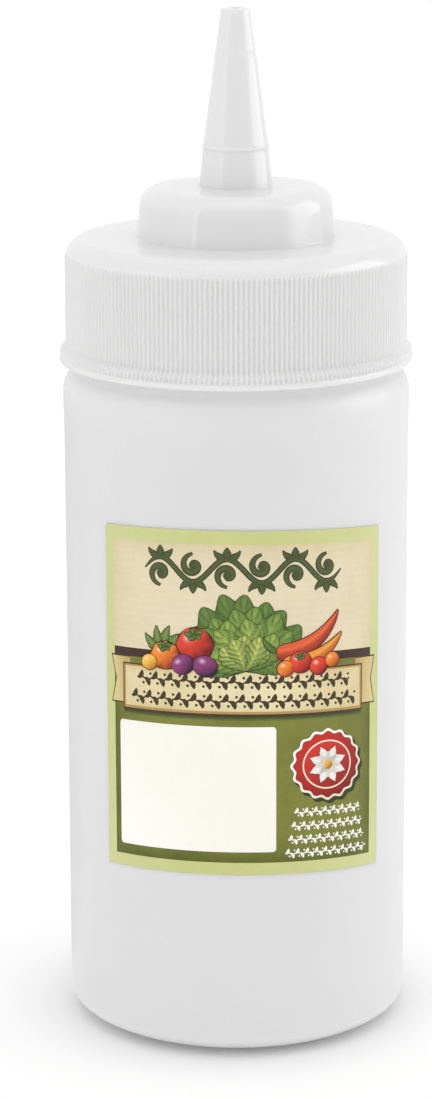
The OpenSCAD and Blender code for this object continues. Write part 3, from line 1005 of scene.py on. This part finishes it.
grounds = []
x, z = plate(GROUND_LEFT, GROUND_RIGHT, BAND_Z1, GROUND_HIGH)
lines = 0.06 * np.sin(2 * np.pi * z / 1.4)
worn = 1 - 0.5 * near_edge(x, z, GROUND_LEFT, GROUND_RIGHT, BAND_Z1 - 4, GROUND_HIGH, 3.0)
press(grounds, x, z, 1, shade(*CREAM, 0.9 * worn + lines), cloud=0.16)
x, z = plate(GROUND_LEFT, GROUND_RIGHT, GROUND_LOW, BAND_Z0)
worn = 0.62 - 0.7 * near_edge(x, z, GROUND_LEFT, GROUND_RIGHT, GROUND_LOW, BAND_Z0 + 3, 2.4)
press(grounds, x, z, 1, shade(*FIELD_GREEN, worn), cloud=0.55)
press(grounds, *plate(GROUND_LEFT, GROUND_RIGHT, BAND_Z0, BAND_Z1), 2, BAND_BROWN, cloud=0.35)
x, z = plate(*WRITING_BOX, bend=0.7)
press(grounds, x, z, 3, shade("#F6F3EA", "#FFFDF8", 0.5 + 0.5 * np.cos((x + z) / 17)), cloud=0.03)
add_prints("label_grounds", grounds)

# %% [markdown]
# ### Ribbon
#
# A printed ribbon crosses the label: two tails with a notch behind, the band before them, a dark outline
# and a soft shadow under it. It carries two rows of a small garland.

# %% Ribbon
RIBBON = (-23.4, 26.5, 71.0, 79.7)
RIBBON_LINE, RIBBON_EDGE, GARLAND_BROWN = "#4A3218", "#B49255", "#43351C"
RIBBON_FACE = ("#C9B277", "#EADDB2")
TAIL_FACE = ("#B79C5C", "#D9C68E")
TAIL_LEFT, TAIL_RIGHT, TAIL_LOW, TAIL_HIGH = -26.5, 30.3, 72.0, 81.1
TAIL_NOTCH = 1.1


def tail(prints, inner, outer, layer):
    """One end of the ribbon behind: a plate whose outer edge moves in by notch * (1 - |2 t - 1|)."""
    t = np.linspace(0, 1, 9)
    for grow, shades in ((0.28, (RIBBON_LINE, RIBBON_LINE)), (0.0, TAIL_FACE)):
        out = np.sign(outer - inner)
        end = outer + out * (grow - TAIL_NOTCH * (1 - np.abs(2 * t - 1)))
        s = np.linspace(0, 1, 7)[:, None]
        x = inner * (1 - s) + end * s
        z = (TAIL_LOW - grow) * (1 - t) + (TAIL_HIGH + grow) * t + 0 * s
        press(prints, x, z, layer, shade(*shades, 0.25 + 0.9 * s - 0.2 * t))
        layer += 1


def garland(prints, x0, x1, z, size, layer, ink):
    """A running twig: a wavy stem, z + size / 9 * sin, with a slim leaf and a dot on every bend.

    The bends lie half a size apart. A leaf's half width is size / 6 * sin(pi * s) ** 0.7.
    """
    x = np.arange(x0, x1, size / 16)
    press(prints, *band(x, z + size / 9 * np.sin(2 * np.pi * (x - x0) / size), 0.055 * size), layer, ink, 0.2)
    s = np.linspace(0.02, 0.98, 9)
    for k in range(int((x1 - x0) / (size / 2))):
        way = 1 if k % 2 == 0 else -1
        root = (x0 + (k + 0.1) * size / 2, z - 0.04 * way * size)
        tip = (root[0] + 0.3 * size, z + 0.5 * way * size)
        press(prints, *band(*curved(root, tip, -0.1 * way * size, 9), size / 6 * np.sin(np.pi * s) ** 0.7),
              layer, ink, 0.2)
        dot = rounded((root[0] + 0.4 * size, z - 0.3 * way * size), (size / 11, size / 11), cells=4)
        press(prints, *dot[:2], layer, ink, 0.2)


ribbon = []
left, right, low, high = RIBBON
for drop, dark in ((1.3, "#5F6A2C"), (0.95, "#4A5024"), (0.6, "#393A1B")):
    shadow = plate(left - 0.1 * drop, right + 0.1 * drop, low - drop, high - 2)
    press(ribbon, *shadow, round(4 - 2 * drop) + 1, dark, cloud=0.45)
tail(ribbon, left + 1.5, TAIL_LEFT, 4)
tail(ribbon, right - 1.5, TAIL_RIGHT, 4)
for grow, layer, ink in ((0.3, 6, RIBBON_LINE), (0.02, 7, RIBBON_EDGE)):
    press(ribbon, *plate(left - grow, right + grow, low - grow, high + grow, bend=0.2), layer, ink)
x, z = plate(left + 0.35, right - 0.35, low + 0.5, high - 0.3, bend=0.2)
folds = 0.16 * np.sin(x / 5.5 + 1) - 0.45 * near_edge(x, z, left, right, low, high, 1.1)
press(ribbon, x, z, 8, shade(*RIBBON_FACE, 0.85 + folds))
garland(ribbon, left + 3.2, right - 3.0, 77.3, 3.1, 9, GARLAND_BROWN)
garland(ribbon, left + 1.8, right - 1.6, 73.5, 3.1, 9, GARLAND_BROWN)
add_prints("label_ribbon", ribbon)

# %% [markdown]
# ### Heading scroll
#
# Where such a label has its heading stands a running scroll, the oldest of printers' ornaments: a wavy
# stem whose every bend holds a curl, with a bud at its heart and a leaf on its back.

# %% Scroll
SCROLL_LEFT, SCROLL_RIGHT, SCROLL_Z = -18.2, 21.2, 99.3
SCROLL_INK, SCROLL_LINE = ("#434F26", "#535F34"), "#2E3719"
CURLS = 6


def stroke(prints, x, z, half, layer):
    """A pen stroke: a dark outline under a band of ink, both closed to a point at the ends."""
    press(prints, *band(x, z, half + 0.16), layer, SCROLL_LINE)
    press(prints, *band(x, z, half), layer + 1, shade(*SCROLL_INK, np.tile([0.0, 1.0, 0.2], (len(x), 1))))


def curl(prints, middle, turn, radius, layer):
    """A spiral from the stem to its heart: the radius shrinks from 1 to 0.22 of itself over 400 degrees."""
    s = np.linspace(0, 1, 33)
    angle = math.radians(90 * turn + 180) - turn * np.radians(400) * s
    size = radius * (1 - 0.78 * s ** 0.8)
    stroke(prints, middle[0] + size * np.cos(angle), middle[1] + size * np.sin(angle),
           0.14 + 0.4 * np.sin(np.pi * s ** 0.8), layer)
    press(prints, *rounded(middle, (0.78, 0.78), cells=6)[:2], layer + 2, SCROLL_INK[0])


scroll = []
pitch = (SCROLL_RIGHT - SCROLL_LEFT) / CURLS
stem = np.linspace(SCROLL_LEFT, SCROLL_RIGHT, 121)
phase = np.pi * (stem - SCROLL_LEFT) / pitch
taper = np.clip(np.minimum(stem - SCROLL_LEFT, SCROLL_RIGHT - stem) / 3, 0.05, 1)
stroke(scroll, stem, SCROLL_Z + 2.3 * np.sin(phase), 0.42 * taper, 2)
for k in range(CURLS):
    turn = 1 if k % 2 == 0 else -1
    middle = (SCROLL_LEFT + pitch * (k + 0.5), SCROLL_Z - 0.9 * turn)
    curl(scroll, middle, turn, 2.35, 4)
    back = (middle[0], SCROLL_Z + turn * 2.5)
    for side in (-1, 1):
        leaf(scroll, back, (back[0] + side * 2.5, back[1] + turn * 1.5), 1.15, -side * turn * 0.5, 2,
             *SCROLL_INK, SCROLL_LINE)
    leaf(scroll, back, (back[0], back[1] + turn * 2.1), 1.3, 0, 4, *SCROLL_INK, SCROLL_LINE)
add_prints("label_scroll", scroll)

# %% [markdown]
# ### Still life
#
# Over the ribbon lies a small still life: a fan of broad leaves in the middle, round red and orange
# fruit with plums at its left, and hot pods with berries at its right. Far things are printed first and
# near things over them, each on a layer of its own.

# %% Still life
life = []
RED, ORANGE = ("#7A120C", "#E0402A", "#FFD9C8"), ("#A33A0C", "#F0842C", "#FFE9C0")
PLUM, YELLOW = ("#2E1230", "#8A3A72", "#E8C4DC"), ("#B4701C", "#F2BE4A", "#FFF3CF")
HEART = (1.6, 79.6)
FANS = ((15.2, 5.6, 84, 11, "#6F8C3C"), (13.0, 5.4, 70, 8, "#8CA94A"), (10.2, 5.0, 56, 7, "#A9BF57"),
        (7.2, 4.2, 44, 5, "#CDD56E"))      # reach, width, spread in degrees, number and light ink of a row
for row, (reach, width, span, count, light) in enumerate(FANS):
    for k in range(count):
        lean = math.radians(-span + 2 * span * k / (count - 1))
        far = reach * (1 - 0.3 * (lean / 1.4) ** 2 + 0.05 * math.sin(5 * k + 2 * row))
        tip = (HEART[0] + far * math.sin(lean), HEART[1] + far * math.cos(lean))
        leaf(life, HEART, tip, width, 0.9 * math.sin(3 * k + row), 6 + 3 * row + (k % 2), LEAF_DARK, light,
             belly=1.5)
TUFT, TUFT_REACH = (-14.2, 82.8), 5.4
for lean in np.radians([-50, -18, 12, 46]):
    tip = (TUFT[0] + TUFT_REACH * math.sin(lean), TUFT[1] + TUFT_REACH * math.cos(lean))
    leaf(life, TUFT, tip, 1.9, 0.5, 11, light="#93A850")
pod(life, (7.6, 83.0), (20.6, 91.2), 3.4, -2.2, 18, "#7E1408", "#F0683A")
pod(life, (9.0, 81.0), (21.4, 86.8), 3.1, -1.8, 20, "#A8420A", "#F7A63C")
leaf(life, (7.8, 83.2), (4.9, 86.2), 1.1, 0.4, 20, "#33491E", "#7F9A3F")
fruit(life, (-8.0, 84.6), (3.5, 3.3), 0, 20, *RED, ribs=6)
star(life, (-8.2, 86.6), 2.0, 22)
fruit(life, (-14.0, 82.2), (2.9, 2.7), 0, 22, *ORANGE, ribs=8)
star(life, (-14.1, 83.9), 1.6, 24)
fruit(life, (-10.4, 80.6), (2.2, 1.9), 20, 24, *PLUM)
fruit(life, (-6.0, 80.4), (2.3, 2.0), -15, 24, *PLUM)
fruit(life, (-17.4, 80.6), (1.6, 1.5), 0, 24, *YELLOW)
for x, z, size in ((12.4, 81.2, 2.2), (16.2, 80.3, 1.8), (9.4, 80.0, 1.6), (19.2, 81.4, 1.5)):
    fruit(life, (x, z), (size, 0.95 * size), 0, 24, *(RED if size > 1.7 else ORANGE))
star(life, (12.4, 82.4), 1.2, 26)
add_prints("label_still_life", life)

# %% [markdown]
# ### Rosette and small ornament
#
# At the lower right, a red rosette with a white flower stands over four rows of small white ornament.

# %% Rosette and rows
MIDDLE = (18.4, 60.3)


def disc(prints, middle, half, layer, inks, share=(0, 0, 0, 0), cloud=0.1, cells=24, **edge):
    """A round print whose share of the light ink is a + b p + c q + d (p * p + q * q)."""
    x, z, p, q = rounded(middle, half, cells=cells, **edge)
    a, b, c, d = share
    press(prints, x, z, layer, shade(*inks, a + b * p + c * q + d * (p * p + q * q)), cloud)


rosette = []
shadow = (MIDDLE[0] + 0.55, MIDDLE[1] - 0.6)
disc(rosette, shadow, (7.9, 7.2), 3, ("#30351A", "#30351A"), cloud=0.3, lobes=16, lobe=0.035)
for half, layer, inks, share, cloud in (
        ((7.7, 7.0), 4, ("#E9DFC4", "#FFFFFF"), (0.5, -0.5, 0.5, 0), 0.1),
        ((7.2, 6.5), 5, ("#7C100C", "#C9261C"), (0.75, -0.3, 0.35, -0.3), 0.15)):
    disc(rosette, MIDDLE, half, layer, inks, share, cloud, cells=32, lobes=16, lobe=0.04)
disc(rosette, MIDDLE, (5.5, 4.95), 6, ("#F3E8D0", "#F3E8D0"))
disc(rosette, MIDDLE, (5.2, 4.65), 7, ("#8A130E", "#D02E20"), (0.6, -0.3, 0.4, 0), 0.15)
for angle in np.radians(22.5 + 45 * np.arange(8)):
    tip = (MIDDLE[0] + 4.3 * math.cos(angle), MIDDLE[1] + 3.9 * math.sin(angle))
    leaf(rosette, MIDDLE, tip, 2.3, 0.0, 8, "#D9D2C4", "#FFFFFF", "#6E1A14")
disc(rosette, MIDDLE, (1.0, 0.95), 11, ("#B4701C", "#F2BE4A"), (0.5, -0.5, 0.5, 0), cells=8)
for k, wide in enumerate((7.6, 8.2, 8.8, 9.4)):
    garland(rosette, MIDDLE[0] - wide + 0.4, MIDDLE[0] + wide + 0.4, 50.9 - 2.75 * k, 2.0, 3, "#F7F4EA")
add_prints("label_rosette", rosette)
